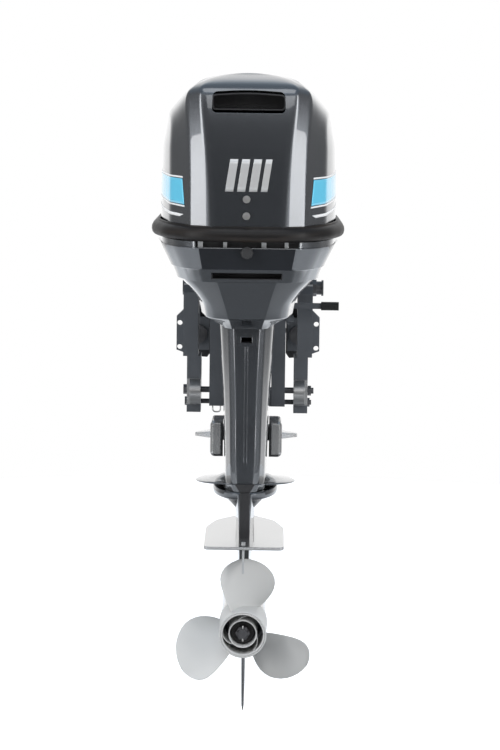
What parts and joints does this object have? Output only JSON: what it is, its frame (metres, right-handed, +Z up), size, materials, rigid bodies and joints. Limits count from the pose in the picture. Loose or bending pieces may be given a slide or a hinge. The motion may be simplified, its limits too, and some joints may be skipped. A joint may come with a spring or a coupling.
{
  "type": "outboard motor",
  "caption": "Outboard motor with clamp bracket, tilt and steering pivots, lift-off hood, powerhead, driveshaft leg, geared lower unit and three-bladed propeller.",
  "frame": {"origin": "centre of the four transom bolt holes, in the plane of the transom's aft face", "axes": "+X to starboard, +Y forward towards the boat, +Z up"},
  "size_m": [0.37, 0.623, 1.247],
  "materials": {
    "gloss_paint": "gloss metallic",
    "casting_paint": "gloss metallic",
    "satin_paint": "satin",
    "alloy": "satin",
    "steel": "satin",
    "cast": "matt",
    "rubber": "matt",
    "plastic": "satin",
    "brass": "satin"
  },
  "bodies": {
    "clamp": {"clamp_bracket_port": "satin_paint", "clamp_bracket_starboard": "satin_paint", "tilt_tube": "steel", "tilt_tube_nut": "steel", "steering_cable_cap": "steel", "tilt_pin": "steel", "tie_bolt": "steel"},
    "pad_port": {"clamp_pad_port": "steel"},
    "screw_port": {"clamp_screw_port": "steel", "clamp_handle_port": "steel"},
    "pad_starboard": {"clamp_pad_starboard": "steel"},
    "screw_starboard": {"clamp_screw_starboard": "steel", "clamp_handle_starboard": "steel"},
    "swivel": {"swivel_bracket": "satin_paint", "steering_bushes": "plastic", "bonding_lead": "steel"},
    "tilt_lock": {"tilt_lever": "satin_paint", "tilt_lever_grip": "rubber"},
    "hood": {"top_cowl": "gloss_paint", "cowl_band": "rubber", "cowl_screws": "brass"},
    "latch": {"cowl_latch": "plastic"},
    "crank": {"crankshaft": "steel", "flywheel": "cast", "driveshaft": "steel", "pinion_gear": "steel", "pump_impeller": "rubber"},
    "forward_gear": {"forward_gear": "steel"},
    "reverse_gear": {"reverse_gear": "steel"},
    "prop": {"propeller_shaft": "steel", "propeller": "alloy", "prop_bush": "rubber", "prop_nut": "steel", "cotter_pin": "steel"},
    "clutch": {"clutch_dog": "steel"},
    "shift": {"shift_rod": "steel"},
    "motor": {"apron": "gloss_paint", "bearing_carrier": "alloy", "bottom_cowl": "gloss_paint", "carburettors": "alloy", "crankcase": "satin_paint", "cylinder_head": "satin_paint", "driveshaft_housing": "casting_paint", "engine_block": "satin_paint", "exhaust_guide": "satin_paint", "gearcase": "casting_paint", "grab_handle": "plastic", "intake_silencer": "plastic", "lower_mount_bracket": "satin_paint", "lower_mount_cover_port": "casting_paint", "lower_mount_cover_starboard": "casting_paint", "lower_mounts": "rubber", "rear_panel": "plastic", "spark_plugs": "plastic", "starter_motor": "plastic", "steering_bracket": "satin_paint", "trim_tab": "alloy", "upper_mounts": "rubber", "water_pump": "alloy"}
  },
  "joints": [
    {"name": "tilt", "type": "hinge", "parent": "clamp", "child": "swivel", "pos_m": [0, 0.02, 0.095], "axis": [-1, 0, 0], "range_deg": [0, 65]},
    {"name": "steer", "type": "hinge", "parent": "swivel", "child": "motor", "pos_m": [0, -0.095, 0], "axis": [0, 0, 1], "range_deg": [-40, 40]},
    {"name": "tilt_lock_turn", "type": "hinge", "parent": "swivel", "child": "tilt_lock", "pos_m": [0.08, -0.072, 0.044], "axis": [-1, 0, 0], "range_deg": [0, 35]},
    {"name": "hood_lift", "type": "slide", "parent": "motor", "child": "hood", "axis": [0, 0, 1], "range_m": [0, 0.4]},
    {"name": "latch_turn", "type": "hinge", "parent": "motor", "child": "latch", "pos_m": [0, -0.456, 0.2185], "axis": [0, 1, 0], "range_deg": [0, 90]},
    {"name": "crank_turn", "type": "hinge", "parent": "motor", "child": "crank", "pos_m": [0, -0.205, 0.3], "axis": [0, 0, 1], "continuous": true},
    {"name": "forward_gear_turn", "type": "hinge", "parent": "motor", "child": "forward_gear", "pos_m": [0, -0.205, -0.518], "axis": [0, 1, 0], "continuous": true},
    {"name": "reverse_gear_turn", "type": "hinge", "parent": "motor", "child": "reverse_gear", "pos_m": [0, -0.205, -0.518], "axis": [0, 1, 0], "continuous": true},
    {"name": "prop_turn", "type": "hinge", "parent": "motor", "child": "prop", "pos_m": [0, -0.36, -0.518], "axis": [0, 1, 0], "continuous": true},
    {"name": "shift_turn", "type": "hinge", "parent": "motor", "child": "shift", "pos_m": [0, -0.152, -0.2], "axis": [0, 0, 1], "range_deg": [-20, 20]},
    {"name": "clutch_slide", "type": "slide", "parent": "prop", "child": "clutch", "axis": [0, 1, 0], "range_m": [-0.0043, 0.0043]},
    {"name": "clamp_slide_port", "type": "slide", "parent": "clamp", "child": "pad_port", "axis": [0, -1, 0], "range_m": [0, 0.027]},
    {"name": "clamp_turn_port", "type": "hinge", "parent": "pad_port", "child": "screw_port", "pos_m": [-0.103, 0.12, -0.008], "axis": [0, -1, 0], "range_deg": [0, 2777]},
    {"name": "clamp_slide_starboard", "type": "slide", "parent": "clamp", "child": "pad_starboard", "axis": [0, -1, 0], "range_m": [0, 0.027]},
    {"name": "clamp_turn_starboard", "type": "hinge", "parent": "pad_starboard", "child": "screw_starboard", "pos_m": [0.103, 0.12, -0.008], "axis": [0, -1, 0], "range_deg": [0, 2777]}
  ],
  "couplings": [
    {"joint": "forward_gear_turn", "follows": "crank_turn", "ratio": -0.54167},
    {"joint": "reverse_gear_turn", "follows": "crank_turn", "ratio": 0.54167},
    {"joint": "clutch_slide", "follows": "shift_turn", "m_per_rad": 0.012318},
    {"joint": "clamp_slide_port", "follows": "clamp_turn_port", "m_per_rad": 0.00055704},
    {"joint": "clamp_slide_starboard", "follows": "clamp_turn_starboard", "m_per_rad": 0.00055704}
  ]
}
